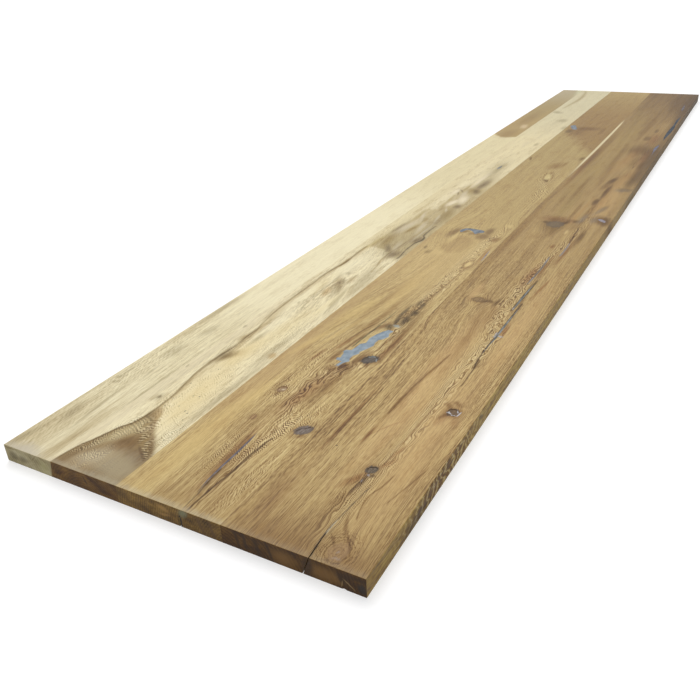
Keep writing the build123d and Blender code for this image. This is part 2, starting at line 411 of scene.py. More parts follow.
class Stave:
    """The wood of one stave, built up in layers.

    The pith is given by its places across and down. Knots are (along, across, half length, half width,
    tilt) each. The drift moves the grain sideways along the board, as (along, shift) points, and fades
    out between the two places across in fade. The swirl is a lane of swirling figure, as in lane().
    """

    def __init__(self, name, pith, seed, knots=(), drift=None, fade=(0, 1), swirl=None):
        self.material, self.graph, self.shader = new_material(name)
        self.swirl = swirl
        graph = self.graph
        place, along, across, down, cloud, rag, fleck = graph.use(board_space, {})
        self.reaches = []
        shifted = across
        if drift:
            shifted = across - graph.curve(along, drift) * across.ramp(fade[1], fade[0])
        if swirl:
            eddy = graph.noise(graph.stretch(place, EDDY_SIZE), detail=1, rough=0.4) - 0.5
            shifted = shifted + eddy * self.lane(along, across, swirl) * EDDY_PUSH
        for knot_along, knot_across, half_length, half_width, tilt in knots:
            long_way, short_way = ways(half_length, half_width, tilt)
            shift, reach = graph.use(
                knot_group,
                {
                    "Place": place,
                    "Centre": (knot_along, knot_across, 0),
                    "Spread": (half_length * KNOT_REACH[0], half_width * KNOT_REACH[1], KNOT_REACH[2]),
                    "Long way": long_way,
                    "Short way": short_way,
                    "Ragged": rag * 1.0 + fleck * 0.45,
                },
            )
            shifted = shifted + shift
            self.reaches.append(reach)
        inputs = {
            "Along": along, "Across": shifted, "Down": down,
            "Pith across": pith[0], "Pith down": pith[1], "Seed": seed,
        }
        self.radius, self.broad, self.streak, self.thread, self.pore = graph.use(timber, inputs)
        self.exact, self.edge, self.down = place, across, down
        self.cloud, self.rag, self.fleck = cloud, rag, fleck
        self.along = along + (self.pore - 0.5) * 0.8
        self.across = across + (self.thread - 0.5) * 1.2
        self.place = graph.join(
            self.along + cloud * 24 + rag * 7, self.across + cloud * 6 + rag * 2, down + rag * 2
        )
        self.end = along.least(LENGTH - along).ramp(0.7, 0.25)
        self.value = self.colour = None

    def lane(self, along, across, points):
        """A band that winds along the stave, through (along, across, half width, share) points."""
        middle, width, share = (self.graph.curve(along, [(p[0], p[i]) for p in points]) for i in (1, 2, 3))
        return (abs(across - middle) / width).ramp(1, 0) * share

    def blot(self, first, second, half_length, half_width, tilt=0.0, soft=0.9, ragged=0.6, plane="top"):
        """Mask of a patch on the upper face, or in the plane of a side or an end."""
        long_way, short_way = ways(half_length, half_width, tilt, plane)
        return self.graph.use(
            blot_group,
            {
                "Place": self.place,
                "Centre": lay(first, second, plane),
                "Long way": long_way,
                "Short way": short_way,
                "Ragged": self.rag * ragged,
                "Soft": soft,
            },
        )

    def patches(self, *patches, plane="top"):
        """One mask for several patches."""
        mask = self.blot(*patches[0], plane=plane)
        for patch in patches[1:]:
            mask = mask.most(self.blot(*patch, plane=plane))
        return mask

    def grain(self, *weights, far=0.4):
        """Lightness of the wood from its streaks, which are calmer in the far half."""
        fine = 0.5
        for layer, weight in zip((self.streak, self.thread, self.pore), weights[1:]):
            fine = (layer - 0.5) * weight + fine
        calm = self.graph.curve(self.along, CALM)
        self.value = (fine - 0.5) * calm + (self.broad - 0.5) * calm.most(far) * weights[0] + 0.5
        if self.swirl:
            rings = self.graph.math("SINE", self.radius * (FULL_TURN / SWIRL_PITCH) + self.rag * 3)
            figure = ((rings + 0.2) * 0.36 + (self.thread - 0.5) * 0.7) * (self.cloud * 2 + 0.9)
            self.value = self.value + figure * self.lane(self.along, self.across, self.swirl) * 1.4

    def ripple(self, pitch, turn, strength, *patches):
        """Rippled grain in some places. Turn is the way across the lines, in degrees."""
        inputs = {
            "Place": self.place,
            "Size": (pitch, pitch * 2.6, pitch * 3),
            "Turn": (0, 0, radians(turn)),
        }
        lines = self.graph.use(ripple_group, inputs) * self.patches(*patches)
        self.value = self.value + lines * strength
        return lines

    def strokes(self, run, thick, tilt, weight):
        """Slanting strokes across the grain, which are faint in the far half."""
        place = self.graph.stretch(self.place, (run, thick, thick * 2), tilt=tilt)
        weight = self.along.ramp(1500, 700) * (weight * 0.75) + weight * 0.25
        self.value = self.value + (self.graph.noise(place, detail=3, rough=0.6) - 0.5) * weight

    def paint(self, stops):
        """The palette of the bare wood, darkest first."""
        self.colour = self.graph.palette(self.value, (0.0, 0.3, 0.48, 0.64, 1.0), stops)

    def stain(self, mask, tint, strength=1.0, mode="MULTIPLY"):
        """A tint where the mask is: it multiplies what is there, or covers it with MIX."""
        if not isinstance(tint, bpy.types.NodeSocket):
            tint = srgb(*tint)
        self.colour = self.graph.mix(mask * strength, self.colour, tint, mode)

    def mottle(self, tint, strength):
        """Uneven tone all over the stave."""
        self.stain((self.cloud * 1.4 + self.rag * 0.8).ramp(0.0, 0.3), tint, strength)

    def stains(self, tint, strength, *patches, mode="MULTIPLY"):
        """One tint in several places, each given by its blot numbers."""
        self.stain(self.patches(*patches), tint, strength, mode)

    def covers(self, tint, strength, *patches):
        """One colour that hides the wood in several places."""
        self.stains(tint, strength, *patches, mode="MIX")

    def tone(self, points, tint):
        """A tint whose share changes along the board, as (along, share) points."""
        self.stain(self.graph.curve(self.along, points), tint)

    def line(self, points, tint, strength=1.0, mode="MULTIPLY", soft=1.2, ragged=2.5, upright=False):
        """A drawn-out line through (along, across, half width) points, or (across, along, ...) if upright."""
        graph = self.graph
        run, aside = (self.across, self.along) if upright else (self.along, self.across)
        middle = graph.curve(run, [(a, w) for a, w, _ in points])
        width = graph.curve(run, [(a, h) for a, _, h in points])
        off = abs(aside - middle) + self.rag * ragged
        fade = min(8.0, (points[-1][0] - points[0][0]) / 4)
        within = run.ramp(points[0][0], points[0][0] + fade) * run.ramp(points[-1][0], points[-1][0] - fade)
        self.stain((width - off).ramp(-soft, soft) * within, tint, strength, mode)

    def holes(self, places, radius=1.1):
        """Worm holes at (along, across) places."""
        self.covers(INK, 0.75, *[(*place, radius, radius, 0, 0.35) for place in places])

    def core(self, number, centre, rim, strength, halo):
        """The body of a knot: flecked inside, darker at the rim, in a stained ring."""
        reach = self.reaches[number]
        self.stain(reach.ramp(2.3, 1.0), UMBER, halo)
        flecks = (self.fleck * 2 + self.thread - 0.5).ramp(-0.2, 0.3)
        inner = self.graph.mix(flecks, srgb(*rim), srgb(*centre))
        self.stain(reach.ramp(1.2, 0.85), inner, strength, "MIX")
        self.stain(reach.ramp(1.35, 1.0) * reach.ramp(0.6, 1.0), rim, strength * 0.8, "MIX")

    def whorl(self, number, tint, strength, rings, reach):
        """Rings of grain that wander round a knot."""
        far = self.reaches[number]
        waves = self.graph.math("SINE", far * (FULL_TURN * rings) + self.cloud * 4).ramp(0.2, 0.95)
        self.stain(waves * far.ramp(reach, reach * 0.5), tint, strength)

    def end_grain(self, stops, ring):
        """Sawn end: rings round the pith, and fine pores, in a palette of its own."""
        graph = self.graph
        rings = graph.math("SINE", self.radius * (FULL_TURN / ring) + self.rag * 5) * 0.5 + 0.5
        blotch = graph.noise(graph.stretch(self.exact, (60, 24, 15)), detail=3)
        value = rings * 0.22 + self.fleck * 0.7 + (blotch - 0.5) * 1.6 + 0.4
        ends = graph.palette(value, (0.1, 0.5, 0.9), stops)
        self.stain(self.end, ends, mode="MIX")

    def end_stains(self, tint, strength, *patches, mode="MULTIPLY"):
        """Patches of the near end, each given by its (across, down, half length, half height, tilt)."""
        mask = self.patches(*patches, plane="end")
        self.stain(mask * self.end * self.along.ramp(5, 2), tint, strength, mode)

    def end_covers(self, colour, strength, *patches):
        """One colour that hides the sawn wood in patches of the near end."""
        self.end_stains(colour, strength, *patches, mode="MIX")

    def dust(self, strength):
        """Pale saw dust that stays along the near end of the upper face."""
        depth = self.along + self.rag * 14
        on_top = depth.ramp(13, 1) * self.down.ramp(1.2, 0.3) * self.along.ramp(0.4, 1.2)
        self.stain(on_top, DUST, strength, "MIX")

    def finish(self, bump):
        """Joins the colour to the shader, with a fine bump from the streaks."""
        graph, shader = self.graph, self.shader
        graph.put(shader.inputs["Base Color"], self.colour)
        low, high = WOOD_ROUGH
        graph.put(shader.inputs["Roughness"], self.thread.ramp(0.3, 0.7) * (high - low) + low)
        shader.inputs["Specular IOR Level"].default_value = WOOD_SHINE
        height = self.streak * 0.3 + self.thread * 0.4 + self.pore * 0.3
        made = graph.node("ShaderNodeBump", {"Height": height, "Distance": WOOD_RELIEF, "Strength": bump})
        graph.put(shader.inputs["Normal"], made.outputs[0])
        return self.material


def pale_edge_ground(stave):
    """Bare wood of the pale edge stave, its soft stains, and painted shade at its far end."""
    stave.grain(0.5, 0.55, 1.15, 0.95)
    stave.strokes(40, 3.4, -7, 0.5)
    stave.ripple(5.0, 62, 0.3, (470, 8, 60, 9, 0, 0.7), (55, 20, 75, 24, 5, 0.7), (250, 25, 110, 20, 0, 0.8))
    stave.paint([(172, 156, 116), (203, 189, 150), (222, 209, 170), (233, 222, 184), (242, 234, 204)])
    stave.tone([(0, 0.0), (420, 0.0), (1000, 0.0), (1300, 0.2), (1700, 0.25), (3000, 0.4)], OLIVE)
    stave.tone([(0, 0.5), (130, 0.3), (300, 0.0)], (234, 232, 234))
    stave.stain(stave.along.ramp(380, 560) * stave.along.ramp(1500, 1000), CREAM, 0.6, "MIX")
    stave.mottle(DRIFT, 0.25)
    stave.stains(DRIFT, 0.5, (30, 18, 100, 26, 4, 0.5), (70, 74, 85, 8, 1, 0.5), (440, 8, 120, 8, 0, 0.5))
    stave.stains(
        SMOKE, 0.75,
        (208, 14, 8, 4, 30, 0.8), (192, 18, 4, 6, 10), (228, 14, 12, 2), (240, 49, 16, 2.4, -6, 0.8),
        (205, 84, 60, 1.6, -2), (310, 38, 24, 12), (395, 44, 22, 7, 0, 0.8), (480, 6, 60, 6, 0, 0.8),
        (20, 8, 30, 6, 10), (100, 24, 24, 8, -10), (130, 48, 50, 3, -8),
    )
    stave.covers((190, 182, 168), 0.6, (0, 38, 16, 28, 0, 0.6, 1.0))
    stave.stains(DRIFT, 0.5, (40, 74, 45, 5, 4), (24, 80, 30, 4), (140, 62, 60, 2, -6))
    # Painted shade: the far end of the stave is dimmed and cooled, as light falls off along the board
    stave.tone([(2300, 0.0), (2700, 1.0), (3000, 1.0)], (232, 240, 248))


def pale_edge_heart(stave):
    """Brown heartwood at the far end of the pale edge stave."""
    graph, along, across = stave.graph, stave.along, stave.across
    start = graph.curve(across, [(0, 2052), (25, 2018), (50, 2004), (70, 2012), (86, 2020)])
    fading = graph.curve(along, [(2000, 100), (2650, 98), (2780, 88), (2900, 72), (3000, 58)])
    patch = (along - start + stave.rag * 20).ramp(-12, 14) * (fading - across).ramp(-16, 16)
    stave.stain(patch, (202, 182, 146), 0.95)
    stave.stain(patch, (158, 136, 92), 0.42, "MIX")
    stave.stain(patch * stave.along.ramp(2500, 3000), DUST, 0.4, "MIX")
    stave.covers((206, 184, 146), 0.7, (2195, 62, 34, 12, -10, 0.6))
    stave.stains(UMBER, 0.4, (2060, 45, 60, 24, 0, 0.7), (2330, 40, 110, 22, 0, 0.8))


def pale_edge_end(stave):
    """Near end of the pale edge stave."""
    stave.dust(0.2)
    stave.end_grain([(128, 117, 84), (164, 152, 116), (186, 176, 142)], 5.0)
    stave.end_stains(GREY, 0.8, (16, 14, 9, 6, 10, 0.6), (34, 15, 8, 5, 0, 0.7))
    stave.end_stains(UMBER, 0.7, (57, 6, 7, 0.8, -48, 0.4), (10, 3, 10, 1.2, 0, 0.6), (76, 3, 8, 2, 20, 0.6))
    stave.end_covers((174, 168, 120), 0.5, (76, 16, 9, 12, 0, 0.8))


def pale_edge_wood():
    stave = Stave("pale edge wood", (-70.0, 75.0), 3.0)
    pale_edge_ground(stave)
    pale_edge_heart(stave)
    pale_edge_end(stave)
    return stave.finish(0.35)


def pale_inner_ground(stave):
    """Bare wood of the pale inner stave. Gives back the crests of its ripples."""
    along = stave.along
    stave.grain(0.6, 0.5, 0.8, 0.7)
    stave.strokes(46, 2.6, -10, 0.75)
    crests = stave.ripple(5.8, 6, 4.6, (117, 145, 19, 18, 0, 0.6, 0.3))
    crests = crests.most(stave.ripple(4.8, -30, 2.6, (84, 184, 30, 6, -42), (104, 160, 22, 7, -40)))
    crests = crests.most(stave.ripple(
        3.4, 30, 2.2,
        (32, 134, 26, 15, 8, 0.8), (90, 128, 20, 12, 20, 0.8), (66, 116, 44, 8, 24, 0.8),
    ))
    stave.ripple(
        3.2, 20, 0.8,
        (14, 160, 24, 34, 0, 0.8), (120, 196, 40, 14, -20, 0.8), (88, 128, 18, 16, 20, 0.8),
    )
    stave.ripple(3.4, 44, 0.5, (360, 140, 50, 26, -8), (220, 162, 90, 24), (440, 180, 90, 20))
    stave.ripple(3.4, 52, 1.0, (165, 150, 40, 18, -20), (240, 160, 60, 18))
    stave.ripple(4.4, 74, 0.22, (600, 150, 160, 44), (900, 150, 160, 50))
    stave.paint([(150, 134, 100), (200, 186, 148), (223, 209, 171), (235, 223, 184), (244, 235, 204)])
    stave.mottle(DRIFT, along.ramp(2300, 1400) * 0.4 + 0.2)
    stave.stain(stave.across.ramp(112, 96) * along.ramp(700, 350), (224, 211, 176), 0.6, "MIX")
    stave.covers((226, 206, 154), 0.75, (215, 160, 90, 24, -4), (345, 146, 60, 16, 0, 0.8))
    stave.covers(SAND, 0.45, (450, 164, 100, 18), (560, 180, 90, 8), (640, 122, 90, 8))
    stave.covers(CREAM, 0.55, (560, 118, 80, 9, 0, 0.5), (470, 136, 60, 8), (760, 130, 70, 18, 0, 0.8))
    return crests


def pale_inner_fan(stave, crests):
    """Fan of darker heartwood at the near end, under a soft dark line."""
    graph, along, across, rag = stave.graph, stave.along, stave.across, stave.rag
    upper = graph.curve(
        along,
        [
            (0, 91), (40, 97), (65, 106), (100, 117), (130, 129), (170, 131), (240, 122), (300, 115),
            (345, 120),
        ],
    )
    beyond = graph.curve(
        across, [(86, 150), (120, 150), (135, 146), (152, 130), (165, 114), (190, 90), (208, 68)],
    )
    within = (upper - across + rag * 2).ramp(2, -2)
    fan = within * (along - beyond + rag * 18).ramp(14, -10)
    stave.stain(fan, (160, 143, 116))
    stave.stain(fan * stave.blot(100, 132, 40, 14, 12, 0.8), STRAW, 0.3, "MIX")
    stave.stain(fan * stave.blot(26, 136, 40, 22, 20, 0.8), (208, 195, 166), 0.4, "MIX")
    stave.stain(crests.ramp(0.05, 0.34), (226, 208, 164), 0.55, "MIX")
    stave.stains((208, 190, 168), 0.95, (74, 156, 18, 16, 0, 0.6), (58, 188, 12, 24, 25, 0.7))
    stave.covers((168, 156, 128), 0.6, (26, 184, 34, 28, 0, 0.7))
    stave.stains((214, 200, 178), 0.7, (16, 104, 40, 7, 8, 0.8), (58, 130, 26, 6, 35, 0.8), (6, 140, 12, 40))
    stave.line(
        [(130, 154, 13), (145, 148, 12), (156, 130, 7), (165, 115, 4), (180, 98, 4), (208, 64, 5)],
        (206, 192, 174), 1.0, soft=8, upright=True,
    )
    stave.line([(172, 80, 1.4), (185, 70, 2.4), (208, 54, 2.0)], BARK, 0.7, soft=2, upright=True)
    below = (across - upper).ramp(-3, 1) * (across - upper).ramp(14, 2)
    stave.stain(below * along.ramp(40, 90) * along.ramp(420, 250), DRIFT, 0.7)
    stave.line(
        [
            (0, 92, 0.8), (40, 98, 0.6), (65, 107, 1.0), (100, 118, 1.4), (130, 130, 1.6), (170, 132, 1.5),
            (240, 123, 1.5), (300, 117, 1.6), (330, 118, 2.6), (375, 121, 1.0), (400, 118, 1.8),
            (430, 118.5, 1.8), (450, 115, 1.2), (480, 110.5, 1.0), (510, 107, 1.0), (600, 103, 1.2),
            (650, 102.5, 1.2), (690, 101, 1.6), (740, 104, 2.0), (775, 108, 2.6), (800, 107, 1.4),
            (850, 104.5, 1.4), (880, 106, 1.2),
        ],
        (178, 168, 148), 1.0, soft=2.4,
    )
    stave.stains((196, 186, 168), 0.9, (320, 125, 22, 7, 22), (345, 117, 22, 4))
    stave.stains(DRIFT, 0.9, (408, 117, 14, 5), (430, 121, 100, 6, -4))
    stave.stains(DRIFT, 0.7, (620, 105, 140, 5), (778, 108, 30, 5), (340, 134, 20, 10, 30))


def pale_inner_band(stave):
    """Smoky band in the middle of the length, with paler islands."""
    graph, along, across, rag = stave.graph, stave.along, stave.across, stave.rag
    top = graph.curve(
        along,
        [
            (820, 195), (850, 168), (872, 145), (890, 118), (960, 114), (1080, 124), (1160, 128), (1185, 142),
            (1300, 148), (1345, 142), (1390, 152), (1480, 162), (1600, 164),
        ],
    )
    band = (top - across + rag * 26 + stave.cloud * 16).ramp(22, -18)
    stave.stain(band * along.ramp(1640, 1340) * along.ramp(800, 860), (211, 203, 186), 1.0)
    stave.stain(across.ramp(128, 108) * along.ramp(800, 950) * along.ramp(1700, 1300), OLIVE, 0.4)
    stave.stains(KHAKI, 0.8, (868, 107, 28, 5, 4, 0.8), (915, 114, 45, 8, 4, 0.8), (930, 132, 50, 10, -8))
    stave.stains(KHAKI, 0.9, (770, 107, 26, 3), (1020, 150, 30, 5, 6, 0.8), (1090, 154, 18, 9, -30))
    stave.stains(
        KHAKI, 0.8,
        (1150, 184, 46, 13, -14), (1205, 152, 30, 6, -8), (1360, 172, 22, 22, 20), (1385, 150, 34, 4),
        (1270, 146, 30, 4, -4), (1120, 126, 60, 5),
    )
    stave.stains(
        (188, 180, 172), 0.95,
        (851, 181, 19, 15, 20), (878, 155, 24, 7, -28), (952, 194, 18, 9, 10), (1217, 186, 16, 8, 0, 0.8),
        (1355, 186, 22, 9, -20), (1430, 182, 40, 10), (1324, 146, 12, 3, -20, 0.8),
        (1350, 147, 14, 2, -30, 0.8), (1015, 118, 40, 5, 4),
    )
    stave.covers(
        (210, 198, 170), 0.55,
        (900, 168, 30, 5, -8), (1035, 134, 50, 9, 6), (1040, 166, 50, 5, -6), (1110, 137, 40, 4, -12),
        (1325, 163, 30, 6, -10), (1180, 170, 14, 3, -20), (1010, 184, 60, 3), (1110, 176, 30, 3, -10),
    )
    stave.covers(
        (228, 214, 182), 0.9,
        (1243, 163, 30, 8, 10, 0.7), (1275, 178, 34, 11, -8, 0.8), (1340, 134, 22, 6), (1480, 158, 70, 6),
    )
    stave.stains(
        SMOKE, 0.5,
        (920, 160, 90, 34), (1060, 186, 120, 12), (1460, 178, 110, 12), (1600, 160, 90, 22),
    )
    stave.line(
        [
            (826, 199, 0.8), (840, 200, 1.4), (870, 197, 1.0), (900, 195, 1.4), (930, 196, 1.6),
            (945, 200, 2.4), (960, 203, 2.4), (975, 200, 2.0), (990, 194, 1.6), (1020, 193, 1.4),
            (1060, 197, 1.0),
        ],
        (132, 126, 118), 1.0, soft=2.4,
    )
    stave.line(
        [(738, 184, 1.0), (790, 177, 1.4), (835, 170, 1.4), (905, 174, 1.0), (960, 177, 0.8)], DRIFT, 0.9,
        soft=2,
    )


def pale_inner_marks(stave):
    """Small marks, worm holes and the tone of the far half of the pale inner stave, with painted shade that
    dims its far end.
    """
    stave.stains((196, 182, 158), 0.75, (666, 152, 36, 8, -26), (694, 164, 18, 5))
    stave.stains((160, 148, 126), 0.8, (187, 114, 4, 3, 10, 0.8))
    stave.stains(
        SMOKE, 0.8,
        (187, 114, 10, 7, 10), (282, 91, 6, 2, -12, 0.5), (433, 91, 7, 2, -12, 0.5), (336, 128, 14, 9, 20),
        (407, 140, 22, 5), (552, 143, 18, 1.6, -6, 0.5), (676, 152, 16, 5, -8, 0.8), (722, 144, 6, 6),
        (557, 125, 4, 2, -20, 0.7),
    )
    stave.stains((226, 206, 176), 0.8, (362, 197, 9, 7, 0, 0.8), (625, 148, 20, 7, -10))
    stave.stains(
        SMOKE, 0.85,
        (250, 200, 100, 5), (380, 190, 60, 6), (635, 164, 28, 8, -10), (700, 190, 70, 14, -8),
        (600, 186, 60, 5, -10), (2330, 165, 26, 15, 0, 0.8), (1930, 182, 22, 6, 0, 0.8),
    )
    stave.stains(SMOKE, 0.8, (2483, 108, 26, 14, -30, 0.8), (2205, 207, 26, 12, 0, 0.8), (1590, 166, 60, 8))
    stave.line(
        [(2560, 108, 1), (2680, 116, 5), (2780, 121, 7), (2880, 116, 6), (2990, 96, 4)], DRIFT, 1.0, soft=8,
    )
    stave.tone([(0, 0.0), (1300, 0.0), (1800, 0.3), (2200, 0.3), (3000, 0.3)], OLIVE)
    # Painted shade: the far end of the stave is dimmed and cooled, as light falls off along the board
    stave.tone([(2000, 0.0), (2700, 1.0), (3000, 1.0)], (236, 240, 246))
    stave.holes([(191, 135), (240, 132), (212, 160), (212, 169), (181, 159), (174, 176)])
    stave.holes([(168, 182), (286, 143), (104, 197), (94, 116), (155, 188), (170, 138)])


def pale_inner_end(stave):
    """Near end of the pale inner stave."""
    stave.dust(0.3)
    stave.end_grain([(58, 37, 12), (88, 61, 25), (118, 87, 40)], 4.0)
    pale = (stave.edge + stave.down * 0.2).ramp(93, 91)
    stave.stain(stave.end * pale, (160, 148, 112), 0.95, "MIX")
    stave.end_covers((46, 30, 18), 0.8, (152, 11, 7, 1.8, 66, 0.6))
    stave.end_stains(
        UMBER, 0.9,
        (105, 13, 12, 3, -20, 0.7), (165, 6, 16, 3, 30, 0.7), (190, 18, 14, 3, 0, 0.7),
    )


def pale_inner_wood():
    stave = Stave("pale inner wood", (150.0, 48.0), 11.0)
    crests = pale_inner_ground(stave)
    pale_inner_fan(stave, crests)
    pale_inner_band(stave)
    pale_inner_marks(stave)
    pale_inner_end(stave)
    return stave.finish(0.35)


def honey_ground(stave):
    """Bare wood of the honey stave, and its broad stains."""
    along, across, rag = stave.along, stave.across, stave.rag
    stave.grain(0.42, 0.55, 1.35, 1.1)
    stave.ripple(
        2.9, 70, 0.6,
        (70, 356, 52, 12, 4, 0.8), (225, 318, 44, 12, 0, 0.8), (380, 270, 90, 10, 0, 0.8),
    )
    crests = stave.ripple(3.4, 36, 2.4, (140, 318, 30, 11, 12, 0.8), (200, 330, 26, 9))
    stave.ripple(2.8, 50, 1.0, (120, 285, 40, 10), (230, 345, 40, 10, 10), (285, 272, 30, 14))
    stave.ripple(3.6, 40, 0.9, (366, 318, 30, 20, 0, 0.8), (900, 350, 90, 10, 0, 0.8))
    stave.ripple(5.4, 66, 0.5, (1560, 320, 60, 22, 0, 0.7), (1390, 345, 60, 18, 0, 0.8))
    stave.paint([(104, 74, 40), (150, 120, 72), (186, 160, 108), (204, 180, 126), (226, 206, 156)])
    stave.stain(crests.ramp(0.06, 0.35), (224, 198, 142), 0.5, "MIX")
    # Smooth band beside the pale staves
    smooth = (across + along * 0.03 + rag * 8).ramp(256, 240) * along.ramp(60, 330) * along.ramp(1500, 700)
    stave.stain(smooth, (186, 157, 108), 0.65, "MIX")
    stave.covers(
        (214, 186, 122), 0.5,
        (130, 238, 130, 18, 0, 0.8), (250, 244, 60, 8, 0, 0.8), (570, 246, 70, 14, 10, 0.8),
        (690, 285, 110, 14, 0, 0.8), (440, 232, 60, 6, 12, 0.8), (500, 262, 70, 4, 10, 0.8),
    )
    stave.stains((214, 201, 190), 0.5, (20, 345, 70, 34, 0, 0.95))
    stave.stains(
        UMBER, 0.42,
        (90, 286, 60, 10, 0, 0.7), (190, 282, 50, 9, 0, 0.8), (310, 298, 60, 7, 0, 0.6),
        (290, 326, 44, 9, 0, 0.6), (20, 282, 24, 18, 0, 0.8),
    )
    stave.stains((206, 190, 176), 0.7, (110, 313, 74, 6, 4), (60, 322, 60, 5, 2))
    stave.stains(
        (200, 176, 158), 0.9,
        (110, 300, 70, 5, -2, 0.8), (145, 301, 24, 5, -6, 0.7), (290, 308, 60, 12, 6),
    )
    stave.stains(UMBER, 0.8, (340, 330, 60, 8, 0, 0.8), (500, 360, 90, 6, 0, 0.8), (560, 296, 120, 6, 3, 0.8))


def honey_hollows(stave):
    """Dark, rotten and pale wood round the filled hollows of the honey stave."""
    # Dark wood round the long filled void, and rotten specks past its far end
    stave.stains(
        (190, 172, 156), 0.95,
        (380, 322, 18, 14, 30, 0.7), (410, 333, 26, 6, 12, 0.7), (404, 293, 24, 5, 0, 0.8),
        (368, 308, 10, 12), (470, 300, 40, 3, 6), (530, 315, 22, 5, 20, 0.8), (490, 348, 40, 3, 4, 0.8),
    )
    rotten = stave.patches(
        (570, 341, 19, 7, 0, 0.7, 1.2), (603, 344, 13, 7, 0, 0.7, 1.2), (562, 329, 24, 4, -8, 0.8, 1.2),
        (596, 325, 28, 3, 0, 0.8, 1.2), (636, 345, 14, 4, 0, 0.8, 1.2), (642, 335, 16, 4, 0, 0.8, 1.2),
        (532, 326, 10, 7, 0, 0.8, 1.2),
    )
    rotten = rotten * (stave.fleck * 2 + stave.thread - 0.5).ramp(-0.7, 0.1)
    stave.stains(UMBER, 0.9, (596, 338, 56, 14))
    stave.stain(rotten, (112, 104, 92))
    stave.covers((150, 160, 158), 0.75, (542, 337, 4, 7, 0, 0.6, 1.0), (383, 311, 5, 3, 0, 0.7))
    stave.stains(RUST, 0.7, (470, 362, 50, 5), (395, 264, 20, 4, 6), (450, 284, 30, 4, 10))
    stave.stains(UMBER, 0.55, (620, 270, 120, 6, 3), (690, 344, 60, 6, 0, 0.5), (960, 285, 56, 30, 0, 0.25))
    stave.stains(
        SMUDGE, 0.95,
        (1032, 250, 30, 9, 4, 0.7), (1045, 270, 12, 8, 40, 0.8), (1030, 320, 18, 14, 10, 0.7),
        (1062, 323, 24, 9, 0, 0.7), (1040, 298, 10, 14, 0, 0.8),
    )
    stave.stains((152, 142, 110), 0.9, (915, 227, 9, 3, -15, 0.6), (897, 244, 9, 6))
    stave.stains(
        (160, 138, 106), 0.8,
        (1518, 326, 17, 6, -22, 0.4), (1790, 362, 18, 6), (1745, 218, 22, 4, -10, 0.5),
    )
    stave.stains((204, 184, 160), 0.8, (1680, 312, 36, 18, 10), (1700, 330, 34, 5, 4, 0.8))
    stave.stains((172, 142, 110), 0.9, (854, 349, 30, 11, 0, 0.6), (1018, 352, 14, 9))
    stave.whorl(9, BARK, 0.7, 1.5, 3.0)
    stave.stains(
        (196, 172, 136), 0.8,
        (1566, 311, 34, 3, -6, 0.7), (1566, 333, 30, 3, -8, 0.7), (1600, 320, 14, 5),
    )
    stave.covers((226, 202, 144), 0.95, (859, 349.5, 15, 5.5, 0, 0.4))
    stave.covers(
        (216, 192, 134), 0.6,
        (900, 262, 20, 10), (1118, 352, 14, 7, -30, 0.5), (1000, 262, 40, 6, 0, 0.5),
    )
    stave.covers((225, 205, 147), 0.75, (1562, 322, 26, 9, -4, 0.7, 1.0))


def honey_checks(stave):
    """Checks beside the filled one."""
    stave.line(
        [(20, 314, 1.0), (60, 310, 3.0), (100, 304, 4.0), (140, 300, 3.4), (180, 294, 1.2)], (200, 184, 170),
        0.6, soft=2.5, ragged=6,
    )
    stave.line(
        [(0, 320, 1.0), (50, 321, 1.4), (90, 324, 1.8), (130, 325, 2.0), (175, 331, 1.2)], (150, 136, 122),
        1.0,
    )
    stave.line([(0, 313, 0.5), (30, 312, 0.7), (60, 309, 1.2), (90, 307, 1.0)], (120, 112, 112), 0.9)
    stave.line([(440, 303, 0.6), (480, 305, 1.3), (530, 308, 1.2), (600, 311, 0.4)], (146, 154, 150), 1.0)
    stave.stains(RUST, 0.8, (918, 361, 46, 4, -3, 0.8))
    stave.line([(600, 342, 1.2), (680, 345, 1.4), (760, 349, 1.6), (840, 352, 0.8)], UMBER, 1.0)


def honey_far(stave):
    """Darker far third of the honey stave, past a slanting border, with painted shade that darkens the whole
    stave towards the far end.
    """
    graph, along, across, rag = stave.graph, stave.along, stave.across, stave.rag
    diagonal = graph.curve(
        along, [(1700, 420), (1850, 372), (1950, 318), (2060, 270), (2160, 215), (2300, 190)],
    )
    beyond = (across - diagonal + rag * 40 + stave.cloud * 60).ramp(-40, 50)
    beyond = beyond * along.ramp(1780, 1900) * along.ramp(3200, 2300)
    stave.stain(beyond, (220, 204, 188), 0.95)
    stave.stains(UMBER, 0.5, (2190, 338, 50, 6, 0, 0.5), (2150, 262, 60, 22))
    stave.stains(PEAT, 0.6, (2160, 232, 30, 12, 0, 0.6))
    stave.stains((190, 168, 150), 0.7, (2216, 285, 26, 34, -14))
    stave.mottle(HAZE, 0.4)
    # Painted shade: the stave darkens and greys steadily towards the far end, as light falls off along the
    # board; it is also a little darker at the near end
    stave.tone(
        [(0, 0.35), (150, 0.05), (300, 0.0), (500, 0.2), (1000, 0.4), (1500, 0.6), (2000, 0.9), (3000, 0.9)],
        (222, 222, 214),
    )
    stave.covers((206, 178, 124), 0.4, (850, 290, 190, 80))


def honey_knots(stave):
    """Bodies of the knots in the honey stave."""
    stave.core(0, (132, 122, 116), (96, 84, 76), 0.95, 0.5)
    stave.core(1, (98, 91, 86), (74, 67, 60), 0.95, 0.6)
    stave.covers((142, 150, 150), 0.8, (427, 349, 1.6, 6, -8, 0.4), (420, 360, 5, 1.2, -30, 0.4))
    stave.core(2, (180, 154, 122), (132, 104, 74), 0.85, 0.5)
    stave.core(3, (160, 122, 84), (128, 96, 66), 0.55, 0.5)
    stave.covers((212, 200, 172), 0.8, (283, 272, 2.4, 1.6, 20, 0.6))
    stave.stains(BARK, 0.9, (186, 360, 6, 5, 0, 0.8), (399, 352, 9, 4, -20, 0.8), (268, 270, 8, 3, 0, 0.8))


